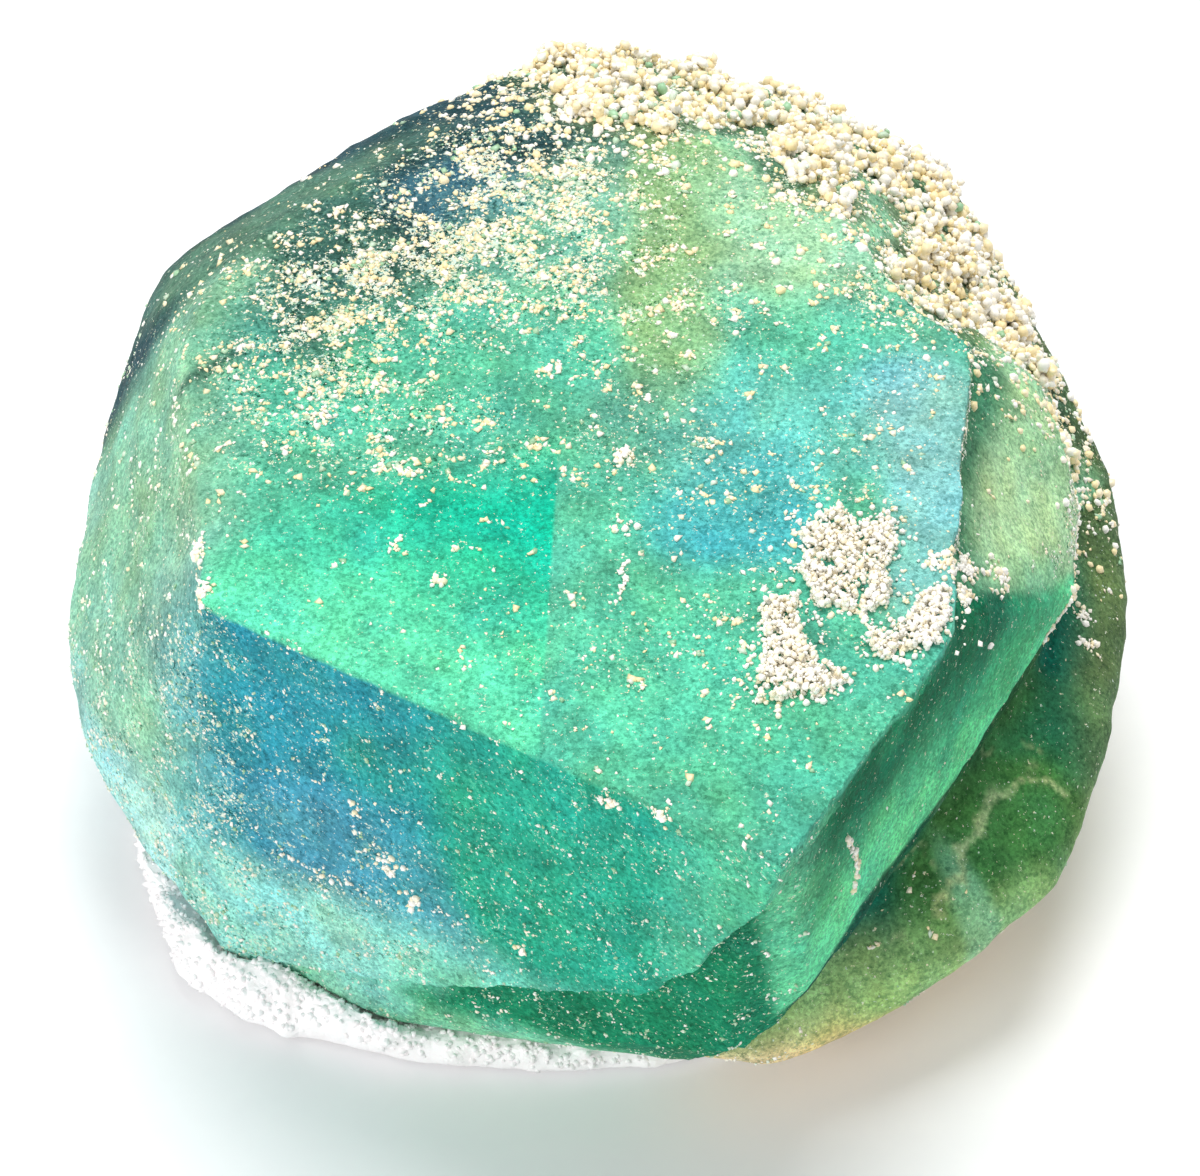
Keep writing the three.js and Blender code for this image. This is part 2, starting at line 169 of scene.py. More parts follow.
class Finish:
    """One material and the nodes that make it."""

    def __init__(self, name):
        self.material = bpy.data.materials.new(name)
        self.material.use_nodes = True
        self.tree = self.material.node_tree
        self.tree.nodes.clear()
        self.place = self.add("ShaderNodeTexCoord").outputs["Object"]

    def add(self, kind, settings=None, sockets=None):
        """A node of a kind: its settings first, then the values or links of its sockets."""
        node = self.tree.nodes.new(kind)
        for name, setting in (settings or {}).items():
            setattr(node, name, setting)
        for name, given in (sockets or {}).items():
            given = given.socket if isinstance(given, Value) else given
            if isinstance(given, bpy.types.NodeSocket):
                self.tree.links.new(given, node.inputs[name])
            else:
                node.inputs[name].default_value = given
        return node

    def math(self, operation, first, second):
        return Value(self, self.add("ShaderNodeMath", {"operation": operation}, {0: first, 1: second}).outputs[0])

    def ease(self, value, low, high):
        """0 at low, 1 at high and smooth between."""
        node = self.add("ShaderNodeMapRange", {"interpolation_type": "SMOOTHSTEP"},
                        {"Value": value, "From Min": low, "From Max": high})
        return Value(self, node.outputs["Result"])

    def mix(self, share, first, second, blend="MIX"):
        """A colour between two colours."""
        node = self.add("ShaderNodeMix", {"data_type": "RGBA", "blend_type": blend, "clamp_factor": True},
                        {0: share, 6: first, 7: second})
        return node.outputs[2]

    def attribute(self, name):
        return Value(self, self.add("ShaderNodeAttribute", {"attribute_name": name}).outputs["Fac"])

    def along(self, direction, middle):
        """Millimetres from a middle point along a direction."""
        node = self.add("ShaderNodeVectorMath", {"operation": "DOT_PRODUCT"}, {0: self.place, 1: tuple(direction)})
        return Value(self, node.outputs["Value"]) * (1 / MM) - float(np.dot(direction, middle))

    def clouds(self, length_mm, detail=2.0, rough=0.55):
        """The node of a cloudy noise whose blotches have that length."""
        return self.add("ShaderNodeTexNoise", {"noise_dimensions": "3D"},
                        {"Vector": self.place, "Scale": 1 / (length_mm * MM), "Detail": detail, "Roughness": rough})

    def noise(self, length_mm, rough=0.55):
        """Cloudy noise as one number, about 0 to 1."""
        return Value(self, self.clouds(length_mm, rough=rough).outputs["Fac"])

    def bump(self, height, distance_mm):
        return self.add("ShaderNodeBump", None, {"Height": height, "Distance": distance_mm * MM}).outputs["Normal"]

    def surface(self, base_color, roughness, normal=None, transmission=0.0, ior=1.45, specular=0.5, absorbs=None):
        """The finished surface. absorbs is the colour and the density of the clear inside."""
        sockets = {"Base Color": base_color, "Roughness": roughness, "IOR": ior,
                   "Transmission Weight": transmission, "Specular IOR Level": specular}
        if normal is not None:
            sockets["Normal"] = normal
        shader = self.add("ShaderNodeBsdfPrincipled", None, sockets)
        output = self.add("ShaderNodeOutputMaterial", None, {"Surface": shader.outputs["BSDF"]})
        if absorbs:
            tint, density = absorbs
            inside = self.add("ShaderNodeVolumeAbsorption", None, {"Color": tint, "Density": density})
            self.tree.links.new(inside.outputs["Volume"], output.inputs["Volume"])


# Mesh making

# The fine meshes' grid: 2 to this power cells along its longest side, of which the solid fills a share.
GRID_DEPTH = 8
CRYSTAL_GRID_SHARE = 0.72
MATRIX_GRID_SHARE = 0.6
# Corners of a solid that are closer than this are one.
WELD = 1e-7


def mesh_object(name, points, triangles):
    """An object from arrays of points and triangles."""
    mesh = bpy.data.meshes.new(name)
    mesh.vertices.add(len(points))
    mesh.vertices.foreach_set("co", np.asarray(points, np.float32).ravel())
    mesh.loops.add(3 * len(triangles))
    mesh.loops.foreach_set("vertex_index", np.asarray(triangles, np.int32).ravel())
    mesh.polygons.add(len(triangles))
    mesh.polygons.foreach_set("loop_start", np.arange(0, 3 * len(triangles), 3, dtype=np.int32))
    mesh.update(calc_edges=True)
    return placed(name, mesh)


def refined(node, name, grid_share):
    """A copy of a solid with an even fine mesh that keeps its edges."""
    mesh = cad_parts[node].data.copy()
    welded = bmesh.new()
    welded.from_mesh(mesh)
    bmesh.ops.remove_doubles(welded, verts=welded.verts, dist=WELD)
    bmesh.ops.recalc_face_normals(welded, faces=welded.faces)
    welded.to_mesh(mesh)
    welded.free()
    mesh.materials.clear()
    rough = placed(name + "_rough", mesh)
    remesh = rough.modifiers.new("remesh", "REMESH")
    remesh.mode = "SHARP"
    remesh.octree_depth = GRID_DEPTH
    remesh.scale = grid_share
    remesh.sharpness = 1.0
    remesh.use_remove_disconnected = True
    fine = bpy.data.meshes.new_from_object(rough.evaluated_get(bpy.context.evaluated_depsgraph_get()))
    bpy.data.objects.remove(rough)
    return placed(name, fine)


def read(items, name, width, kind=np.float32):
    """One property of a mesh's vertices, edges or triangles, as rows of that width."""
    values = np.zeros(width * len(items), kind)
    items.foreach_get(name, values)
    return values.reshape(-1, width)


def points_of(piece):
    return read(piece.data.vertices, "co", 3).astype(float)


def normals_of(piece):
    return read(piece.data.vertex_normals, "vector", 3).astype(float)


def move_points(piece, points):
    piece.data.vertices.foreach_set("co", np.asarray(points, np.float32).ravel())
    piece.data.update()


def cloud(points, length_mm, offset=0.0):
    """Noise from about -1 to 1 at each point, with waves of that length. Each offset gives another pattern."""
    scale = 1 / (length_mm * MM)
    shift = Vector((offset, 2.3 * offset, -1.7 * offset))
    return np.array([noise.noise(Vector(p) * scale + shift) for p in points])


def set_attribute(piece, name, values):
    layer = piece.data.attributes.new(name, "FLOAT", "POINT")
    layer.data.foreach_set("value", np.asarray(values, np.float32))


def softened(piece, points, softness, rounds):
    """A piece's points, drawn towards their neighbours' middle where softness is 1 and left where it is 0."""
    first, second = read(piece.data.edges, "vertices", 2, np.int32).T
    count = len(points)
    neighbours = np.bincount(first, minlength=count) + np.bincount(second, minlength=count)
    pull = (0.6 * softness / np.maximum(neighbours, 1))[:, None]
    for _ in range(rounds):
        total = np.stack([np.bincount(first, points[second, axis], count) +
                          np.bincount(second, points[first, axis], count) for axis in range(3)], axis=1)
        points = points + (total - points * neighbours[:, None]) * pull
    return points


def spots_on(piece, share, per_mm2, rng):
    """Random places on a piece, per_mm2 of them where its vertices' share is 1: points and faces' directions."""
    piece.data.calc_loop_triangles()
    corners = read(piece.data.loop_triangles, "vertices", 3, np.int32)
    triangle = points_of(piece)[corners]
    cross = np.cross(triangle[:, 1] - triangle[:, 0], triangle[:, 2] - triangle[:, 0])
    double_area = np.linalg.norm(cross, axis=1)
    facing = cross / np.maximum(double_area, 1e-15)[:, None]
    weight = double_area / 2 / MM ** 2 * share[corners].mean(axis=1)
    wanted = int(weight.sum() * per_mm2)
    chosen = rng.choice(len(weight), size=wanted, p=weight / weight.sum())
    u, v = rng.random((2, wanted))
    over = u + v > 1
    u[over], v[over] = 1 - u[over], 1 - v[over]
    picked = triangle[chosen]
    spots = picked[:, 0] + u[:, None] * (picked[:, 1] - picked[:, 0]) + v[:, None] * (picked[:, 2] - picked[:, 0])
    return spots, facing[chosen]


def spots_all_over(piece, per_mm2, rng):
    """Random places on the whole of a piece, evenly spread."""
    return spots_on(piece, np.ones(len(piece.data.vertices)), per_mm2, rng)


def clustered(spots, facing, most, reach_mm, rng):
    """Each spot repeated 1 to most times, along a short crooked line of its own on the surface."""
    chosen = np.repeat(np.arange(len(spots)), rng.integers(1, most + 1, len(spots)))
    out = facing[chosen]
    along_line = np.cross(facing, rng.standard_normal((len(spots), 3)))
    along_line /= np.linalg.norm(along_line, axis=1)[:, None] + 1e-9
    across_line = np.cross(facing, along_line)
    far = rng.uniform(-1, 1, len(chosen))
    bend = rng.uniform(-0.6, 0.6, len(spots))[chosen] * far ** 2 + 0.12 * rng.standard_normal(len(chosen))
    aside = along_line[chosen] * far[:, None] + across_line[chosen] * bend[:, None]
    return spots[chosen] + aside * reach_mm * MM, out


def blunt_grain(rng):
    """A rounded quartz grain about 1 across: an icosahedron pulled out of shape."""
    ball = bmesh.new()
    bmesh.ops.create_icosphere(ball, subdivisions=1, radius=0.5)
    points = np.array([v.co for v in ball.verts])
    triangles = np.array([[v.index for v in f.verts] for f in ball.faces])
    ball.free()
    points *= 0.8 + 0.4 * rng.random((len(points), 1))
    return points * np.array([1.0, 0.75 + 0.4 * rng.random(), 0.7 + 0.3 * rng.random()]), triangles


def small_flake(rng):
    """A small flat quartz flake about 1 long, with eight faces."""
    points = np.array([(1, 0, 0), (0, 1, 0), (-1, 0, 0), (0, -1, 0), (0, 0, 1), (0, 0, -1)], float) * 0.5
    points *= 0.75 + 0.5 * rng.random((6, 1))
    points += 0.08 * rng.standard_normal((6, 3))
    triangles = [(i, (i + 1) % 4, 4) for i in range(4)] + [((i + 1) % 4, i, 5) for i in range(4)]
    return points * np.array([1.0, 0.55 + 0.4 * rng.random(), 0.45 + 0.25 * rng.random()]), np.array(triangles)


def quartz_point(rng):
    """A six-sided quartz point about 0.9 across, its foot 0.3 below the origin and its tip about 1.1 above it."""
    turn = np.arange(6) * math.pi / 3
    ring = 0.45 * (0.85 + 0.3 * rng.random(6))
    foot = np.stack([ring * np.cos(turn), ring * np.sin(turn), np.full(6, -0.3)], axis=1)
    neck = foot * [0.95, 0.95, 0] + [0, 0, 0.45 + 0.2 * rng.random()]
    tip = np.array([[0.08 * rng.standard_normal(), 0.08 * rng.standard_normal(), 1.0 + 0.2 * rng.random()]])
    triangles = []
    for i in range(6):
        j = (i + 1) % 6
        triangles += [(i, j, 6 + j), (i, 6 + j, 6 + i), (6 + i, 6 + j, 12)]
    triangles += [(0, i + 1, i) for i in range(1, 5)]
    return np.concatenate([foot, neck, tip]), np.array(triangles)


def strewn(name, shapes, spots, facing, sizes, tints, rng, lean, sink=0.0):
    """One mesh of many small shapes, each at a spot, standing along the spot's direction with some lean.

    sink is how deep they stand in the ground, as a share of their size.
    """
    kinds = rng.integers(len(shapes), size=len(spots))
    up = facing + lean * rng.uniform(-1, 1, (len(spots), 3))
    up /= np.linalg.norm(up, axis=1)[:, None]
    side = np.cross(up, rng.standard_normal((len(spots), 3)))
    side /= np.linalg.norm(side, axis=1)[:, None]
    axes = np.stack([side, np.cross(up, side), up], axis=1) * sizes[:, None, None]
    feet = spots - facing * (sizes * sink)[:, None]
    all_points, all_triangles, all_tints, start = [], [], [], 0
    for kind, (points, triangles) in enumerate(shapes):
        mine = np.flatnonzero(kinds == kind)
        standing = np.einsum("pk,nkj->npj", points, axes[mine]) + feet[mine][:, None]
        all_points.append(standing.reshape(-1, 3))
        starts = start + len(points) * np.arange(len(mine))
        all_triangles.append((triangles[None] + starts[:, None, None]).reshape(-1, 3))
        all_tints.append(np.repeat(tints[mine], len(points)))
        start += len(points) * len(mine)
    made = mesh_object(name, np.concatenate(all_points), np.concatenate(all_triangles))
    set_attribute(made, "tint", np.concatenate(all_tints))
    return made


def finish_piece(piece, finish, replaced=None):
    """The last steps of every piece: its material, the node it stands for and the body it rides on."""
    piece.data.materials.append(finish.material)
    if replaced:
        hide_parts(replaced)
    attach(piece, "root")


# Where the quartz dust lies

# Soft round fields on the upper side, in plan: middle, half widths and how thick the dust lies there.
TOP_DUST_MM = [
    (-9.0, 8.0, 7.0, 4.0, 0.95),
    (-4.0, 15.0, 5.0, 4.0, 0.95),
    (-13.0, 2.0, 4.5, 5.0, 0.75),
    (-9.0, -3.0, 7.0, 2.6, 0.45),
    (-1.0, 9.5, 5.0, 5.0, 0.50),
    (3.5, 3.0, 4.5, 4.5, 0.34),
    (2.0, -5.0, 5.0, 3.0, 0.25),
    (10.0, -7.0, 5.0, 5.0, 0.25),
    (14.5, 6.5, 4.0, 5.5, 0.4),
    (3.0, -16.0, 8.0, 4.0, 0.16),
]

# Single flecks that stand out on the top face and the walls: along, back, height, half width, number of grains.
FLECKS_MM = [
    (3.1, -3.2, 26.1, 0.36, 42),
    (1.0, 4.6, 26.1, 0.24, 14),
    (2.4, 3.9, 26.1, 0.26, 16),
    (2.3, 0.4, 26.1, 0.22, 12),
    (-8.6, -20.0, 26.0, 0.75, 60),
    (-10.4, -17.6, 25.9, 0.9, 50),
    (-2.4, -0.2, 26.1, 0.5, 22),
    (-9.8, -8.3, 26.1, 0.55, 24),
    (-4.2, -9.0, 26.1, 0.45, 16),
    (0.2, -14.0, 26.1, 0.40, 16),
    (-2.6, -13.2, 26.1, 0.45, 14),
    (5.4, -7.2, 26.1, 0.5, 18),
    (15.2, -20.4, 25.6, 0.40, 30),
    (12.6, -20.4, 25.0, 0.40, 24),
    (1.2, -20.4, 14.0, 0.55, 30),
    (2.6, -20.4, 12.4, 0.45, 22),
    (-0.2, -20.4, 17.0, 0.45, 22),
    (8.2, -20.4, 12.6, 0.35, 14),
    (18.5, -1.8, 26.0, 0.60, 80),
    (18.7, 0.4, 23.9, 0.55, 60),
    (19.3, 2.4, 21.9, 0.60, 70),
    (19.3, -1.4, 24.1, 0.55, 56),
    (17.6, -10.4, 26.0, 0.30, 20),
    (19.9, 10.4, 12.4, 0.45, 26),
    (20.8, 9.2, 11.8, 0.40, 26),
]

# Thin crusted cracks: points along, back and height, and the number of grains on each.
THREADS_MM = [
    ([(20.5, -13.4, 20.4), (20.5, -12.6, 18.6), (20.5, -12.3, 17.2), (20.5, -12.5, 15.8)], 70),
    ([(-4.5, -20.4, 11.4), (-2.6, -20.4, 11.3), (-0.9, -20.4, 11.5)], 26),
    ([(6.4, -8.6, 26.05), (7.2, -9.9, 26.05), (7.5, -11.2, 26.05)], 26),
    ([(16.0, -6.2, 26.1), (17.2, -6.4, 26.1), (18.4, -7.4, 26.1)], 60),
    ([(17.3, -10.8, 26.1), (18.3, -9.8, 26.1)], 22),
    ([(18.5, -1.6, 26.0), (18.8, 0.4, 23.9), (19.2, 2.8, 21.6)], 44),
    ([(18.3, 12.9, 17.4), (19.1, 11.4, 16.2), (20.4, 8.0, 16.0), (20.9, 5.6, 15.2)], 150),
]

# The pale healed crack in the right flank, in plan.
HEALED_CRACK_MM = [(21.4, -9.9), (20.3, -9.6), (19.2, -10.2), (17.7, -11.6),
                   (17.1, -13.0), (16.3, -14.0), (16.4, -14.9), (15.2, -16.1)]

# The lower level's rim, as heights over places along and, past the corner, back. The flank lies under it.
RIM_CORNER_MM = 17.3
RIM_ALONG_MM = ([-9, -2.6, 9.1, 14.4, RIM_CORNER_MM], [3.0, 2.2, 2.2, 4.6, 8.6])
RIM_BACK_MM = ([-17.9, -15.6, -10.9, -1.5, 8.5, 13.1], [8.6, 12.0, 14.4, 14.2, 16.0, 17.0])

# The bevelled corner's plane: where it meets the top face, and how far back it goes for each millimetre down.
BEVEL_TOP_MM = -4
BEVEL_LEAN = 1.33


def over_rim(points):
    """Millimetres above the lower level's rim."""
    along, back, height = in_cube(points).T
    rim = np.where(along > RIM_CORNER_MM, np.interp(back, *RIM_BACK_MM), np.interp(along, *RIM_ALONG_MM))
    return height - rim


def past_bevel(back, height):
    """Millimetres behind the line where the bevelled corner begins, at each height."""
    return back - BEVEL_TOP_MM - (TOP_MM - height) * BEVEL_LEAN


def on_top(height):
    """1 on the top face, 0 below its edge."""
    return ease(height, TOP_MM - 0.5, TOP_MM - 0.2)


def near_path(first, second, corners):
    """Distance over two of the coordinates to a line through corners."""
    nearest = np.full(len(first), 1e3)
    for (start_1, start_2), (end_1, end_2) in zip(corners, corners[1:]):
        way_1, way_2 = end_1 - start_1, end_2 - start_2
        share = ((first - start_1) * way_1 + (second - start_2) * way_2) / (way_1 ** 2 + way_2 ** 2)
        share = np.clip(share, 0, 1)
        nearest = np.minimum(nearest, np.hypot(first - start_1 - share * way_1, second - start_2 - share * way_2))
    return nearest


def tree_of(piece):
    """The surface of a piece, for finding the nearest place on it."""
    mesh = piece.data
    return BVHTree.FromPolygons([v.co for v in mesh.vertices], [list(p.vertices) for p in mesh.polygons])


crust_surface = tree_of(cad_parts["quartz_shoulder_crust"])


def crust_gap(points):
    """Millimetres from each point to the crust on the shoulder."""
    return np.array([crust_surface.find_nearest(Vector(p))[3] for p in points]) / MM


def dust_on(points, facing, gap_mm):
    """How thick single grains lie, from almost 0 up to 1.6, at points with their faces' directions."""
    x, y, height = in_plan(points).T
    along, back, _ = in_cube(points).T
    up = ease(facing[:, 2], 0.25, 0.6)
    top = np.full(len(points), 0.025)
    for middle_x, middle_y, half_x, half_y, amount in TOP_DUST_MM:
        away = ((x - middle_x) / half_x) ** 2 + ((y - middle_y) / half_y) ** 2
        top += amount * np.exp(-away)
    right = ease(x, 12.0, 19.0)
    top *= 1 - 0.85 * right * ease(-y, -3.0, 3.0)
    low_middle = np.exp(-((along + 0.5) / 5) ** 2 - ((height - 10) / 4) ** 2)
    left_wall = 0.16 + 0.30 * ease(-along, 3.0, 8.0) + 0.30 * low_middle
    flanks = 0.14 + 0.26 * ease(-x, 12.0, 17.0) * ease(-y, -4.0, 4.0) + 0.25 * ease(y, 4.0, 14.0)
    bevel = ease(past_bevel(back, height), 0.2, 2.0) * ease(back, 19, 16)
    rise = over_rim(points)
    right_side = 0.015 + bevel * (0.6 + 0.8 * ease(rise, 3.5, 0.8)) * (rise > -0.3)
    side = np.where(facing @ -BACK > 0.85, left_wall, np.where(x > 9, right_side, flanks))
    patchy = 0.35 + 1.3 * ease(cloud(points, 1.6) + 0.7 * cloud(points, 0.7, 21.0), -0.35, 0.5)
    near_crust = np.exp(-gap_mm / 1.8)
    return np.clip((up * top + (1 - up) * side) * patchy + 0.8 * near_crust * patchy, 0.003, 1.6)


# Materials

# The zones' numbers are millimetres, in plan (x, y), up (height) or along the cube's axes (along, back).

# The olive strip on the top face and the crease at its left, painted dark as its shade: a point, along and back,
# and the way across.
OLIVE_STRIP = ((-4.7, 15.2), (0.893, 0.45))
CREASE = ((-15.8, -7.7), (0.92, -0.38))
# The vivid green triangle on the top face, painted light shining through the crystal: its sharp edge and the side
# that fades, given the same way.
PAINTED_GLOW_EDGE = ((9.0, -19.9), (-0.877, -0.481))
PAINTED_GLOW_FADE = ((-10.5, -15.7), (0.765, -0.642))


def beside(along, back, line):
    """Millimetres to one side of a line across the crystal."""
    (line_along, line_back), (way_along, way_back) = line
    return (along - line_along) * way_along + (back - line_back) * way_back


def blend(share, first, second):
    """Tones between two others, each of which is one colour or a tone for each point."""
    share = np.clip(share, 0, 1)[:, None]
    return np.asarray(first)[..., :3] * (1 - share) + np.asarray(second)[..., :3] * share


class Skin:
    """The places of the crystal's skin, and the slow clouds that make the zones' outlines wander."""

    def __init__(self, points, wobble, drift):
        self.points = points
        self.x, self.y, self.height = in_plan(points).T
        self.along, self.back, _ = in_cube(points).T
        self.rise = over_rim(points)
        self.above_rim = ease(self.rise, -0.5, 0.1) * ease(self.along, 21.5, 21.0)
        self.wobble = wobble
        self.drift = drift

    def field(self, first, second, middle, half):
        """A soft patch over two of the coordinates, with a wandering outline."""
        away = np.hypot((first - middle[0]) / half[0], (second - middle[1]) / half[1])
        return ease(away + self.wobble * 0.25, 1.5, 0.5)


def flank_tones(skin):
    """The right flank: dark olive green, with a pale foot, a band of painted shade under the rim and one pale
    patch.
    """
    x, y, height, wobble, drift = skin.x, skin.y, skin.height, skin.wobble, skin.drift
    tone = blend(ease(drift + wobble * 0.8, -0.5, 0.4), colour(0, 110, 88), colour(70, 128, 68))
    tone = blend(ease(wobble - drift * 0.4, 0.1, 0.6) * 0.5, tone, colour(0, 62, 44))
    # A band of painted shade under the rim.
    tone = blend(ease(skin.rise + wobble * 0.5, -3.0, -0.8) * 0.65, tone, colour(0, 66, 48))
    tone = blend(ease(x + wobble * 0.4, 20.5, 23.5) * 0.6, tone, colour(124, 142, 84))
    tone = blend(ease(height + wobble, 9.5, 6.5) * 0.8, tone, colour(164, 204, 134))
    tone = blend(ease(height + wobble * 1.2, 5.8, 3.8), tone, colour(250, 216, 160))
    return blend(skin.field(x + y * 0.6, y, (7.4, -15.8), (1.0, 1.8)) * 0.6, tone, colour(150, 216, 176))


def body_tones(skin):
    """The rounded body: pale dusted green on the left, slate at the back left, and the right flank."""
    x, y, height, wobble = skin.x, skin.y, skin.height, skin.wobble
    left = blend(ease(height + wobble * 2, 16.0, 6.0), colour(142, 198, 164), colour(176, 232, 228))
    left = blend(skin.field(skin.along, height, (-10.5, 20.0), (3.0, 3.5)) * 0.6, left, colour(140, 188, 180))
    back_left = blend(ease(skin.drift, -0.3, 0.4), colour(34, 74, 82), colour(84, 126, 106))
    back_right = blend(ease(x + wobble * 2, 12.0, 19.0), colour(156, 216, 170), colour(84, 112, 66))
    at_back = ease(y + wobble * 2, 3.0, 9.0)
    right = blend(at_back, flank_tones(skin), back_right)
    return blend(ease(x + wobble * 2, -3.0, 7.0), blend(at_back, left, back_left), right)


def ledge_zone(skin):
    """The lower ledge of the left wall, with painted shade under the upper level that fades to paler at its rim:
    share and tones.
    """
    share = ease(skin.back, -15.0, -16.5) * ease(skin.along, -9.5, -8.0)
    # Painted shade under the upper level, darkest right under it and fading to paler at the rim.
    tone = blend(ease(skin.height + skin.wobble * 0.6, 6.2, 3.0), colour(24, 146, 104), colour(136, 214, 172))
    return share, blend(ease(skin.height + skin.wobble * 0.3, 5.4, 6.2) * 0.3, tone, colour(4, 92, 66))


def right_wall_zone(skin):
    """The right wall, set back under the upper level, with painted shade at the top under that level that fades to
    paler at its rim: share and tones.
    """
    share = ease(skin.along, 18.6, 19.4) * ease(skin.back, 9.5, 8.5) * skin.above_rim
    # Painted shade at the top under the upper level, fading to paler at the rim.
    tone = blend(ease(skin.height + skin.wobble * 0.8, 22.0, 15.5), colour(0, 112, 76), colour(112, 232, 168))
    tone = blend(ease(skin.wobble + skin.drift, 0.1, 0.9) * 0.35, tone, colour(60, 190, 140))
    return share, blend(ease(skin.back, -14.5, -18.0) * 0.7, tone, colour(112, 214, 168))


def bevel_zone(skin):
    """The pale bevelled corner behind the right wall, with painted shade under its top edge: share and tones."""
    past_corner = ease(past_bevel(skin.back, skin.height) + skin.wobble * 0.5, -0.3, 0.8)
    share = past_corner * ease(skin.along, 10.5, 13.0) * ease(skin.back, 19.0, 16.0) * skin.above_rim
    tone = blend(ease(skin.wobble, -0.6, 0.8), colour(190, 230, 176), colour(146, 206, 160))
    # Painted shade under the top edge.
    return share * 0.94, blend(ease(skin.height + skin.wobble * 1.2, 21.5, 24.0) * 0.85, tone, colour(10, 112, 76))


def left_wall_zone(skin):
    """The left wall, blue to the left and in the middle, and paler at its foot with painted light bounced up from
    the white base: share and tones.
    """
    along, back, height, wobble = skin.along, skin.back, skin.height, skin.wobble
    on_wall = ease(back, LEFT_WALL_MM + 0.75, LEFT_WALL_MM + 0.4)
    around_corner = ease(along + wobble * 1.2, -12.5, -8.5) * ease(along, -6.5, -7.5) * ease(back, -12.0, -15.0)
    tone = blend(ease(along + wobble * 2, -2.0, 7.0), colour(44, 150, 164), colour(40, 168, 138))
    tone = blend(skin.field(along, height, (-2.0, 13.0), (5.0, 5.0)) * 0.7, tone, colour(84, 158, 190))
    # These two paler tones towards the foot are painted light bounced up from the white base.
    tone = blend(ease(height + wobble * 1.5, 13.0, 6.0) * 0.9, tone, colour(162, 234, 218))
    tone = blend(ease(along, -1.0, 4.0) * ease(height, 12.0, 7.0) * 0.8, tone, colour(130, 226, 190))
    tone = blend(ease(along + wobble, -6.5, -9.5) * 0.5, tone, colour(140, 206, 196))
    tone = blend(ease(along + wobble, 14.0, 18.0) * 0.5, tone, colour(110, 212, 170))
    return np.maximum(on_wall, around_corner * ease(height, 3.0, 6.0)), tone


def top_zone(skin):
    """The top face: its general green, slate at the back left, blue and pale fields, the strip: share and tones."""
    x, y, wobble = skin.x, skin.y, skin.wobble
    slate = ease((y - x - 21.0) * 0.7 + wobble * 1.5, -7.0, -1.5) * ease(x + 0.5 * y, -16.0, -11.0)
    slate_tone = blend(ease(skin.drift, -0.2, 0.3), colour(20, 54, 64), colour(50, 94, 86))
    across = beside(skin.along, skin.back, OLIVE_STRIP) + wobble * 0.8
    in_strip = ease(across, -3.0, -0.9) * ease(across, 3.0, 0.6) * ease(skin.back, -1.5, 4.5)
    tone = blend(ease(y + wobble * 2, 2.0, 14.0), colour(88, 186, 152), colour(130, 186, 156))
    tone = blend(slate * 0.92, tone, slate_tone)
    tone = blend(ease(x + wobble, -14.0, -18.5) * 0.8, tone, colour(124, 180, 150))
    tone = blend(skin.field(x, y, (-6.5, 13.5), (3.2, 2.2)) * 0.35, tone, colour(84, 150, 180))
    tone = blend(skin.field(x, y, (-16.4, -12.4), (1.8, 1.2)) * 0.7, tone, colour(176, 206, 222))
    tone = blend(skin.field(x, y, (9.0, 11.0), (6.0, 5.0)) * 0.9, tone, colour(166, 214, 172))
    tone = blend(skin.field(x, y, (9.5, -3.0), (6.0, 4.5)) * 0.65, tone, colour(112, 200, 194))
    tone = blend(skin.field(x, y, (14.5, -5.0), (2.6, 8.0)) * 0.8, tone, colour(142, 198, 200))
    tone = blend(skin.field(x, y, (6.3, -8.0), (4.0, 3.4)) * 0.8, tone, colour(70, 172, 180))
    tone = blend(skin.field(x, y, (2.0, -2.5), (3.0, 3.5)) * 0.6, tone, colour(96, 156, 136))
    tone = blend(in_strip * 0.8, tone, colour(146, 184, 122))
    tone = blend(skin.field(skin.along, skin.back, (13.0, -14.5), (6.0, 5.5)) * 0.8, tone, colour(92, 202, 162))
    return on_top(skin.height), tone


def crease_shade_zone(skin):
    """Painted shade along the crease at the left of the top: share and tone."""
    line = np.exp(-(beside(skin.along, skin.back, CREASE) / 0.35) ** 2)
    from_middle = np.abs(skin.back - CREASE[0][1])
    return line * ease(from_middle, 2.2, 1.2) * ease(skin.height, 22.0, 24.0) * 0.85, colour(24, 62, 56)


def crust_shade_zone(skin, gap_mm):
    """Painted shade on the skin right under and beside the crust's grains: share and tones."""
    under = 1 - ease(gap_mm + skin.wobble * 0.4, 0.6, 1.6)
    under *= 1 - ease(skin.x, 14.5, 17.0) * ease(skin.y, 8.5, 6.0)
    return under * 0.8, blend(ease(skin.drift + skin.wobble, -0.6, 0.6), colour(62, 92, 66), colour(108, 124, 92))


def healed_crack_zone(skin):
    """The pale healed cracks in the right flank, one long and some as thin as hairs: share and tone."""
    points, x, y = skin.points, skin.x, skin.y
    crack_mm = near_path(x + 0.5 * cloud(points, 0.9, 15.0), y + 0.5 * cloud(points, 0.9, 17.0), HEALED_CRACK_MM)
    hairs = np.exp(-(cloud(points, 1.9, 11.0) / 0.03) ** 2) * ease(cloud(points, 2.4, 13.0), 0.15, 0.4)
    below_rim = ease(skin.rise, 0.3, -0.2) * ease(x, 9, 13)
    return np.maximum(np.exp(-(crack_mm / 0.15) ** 2) * 0.8, hairs * 0.35) * below_rim, colour(190, 206, 152)


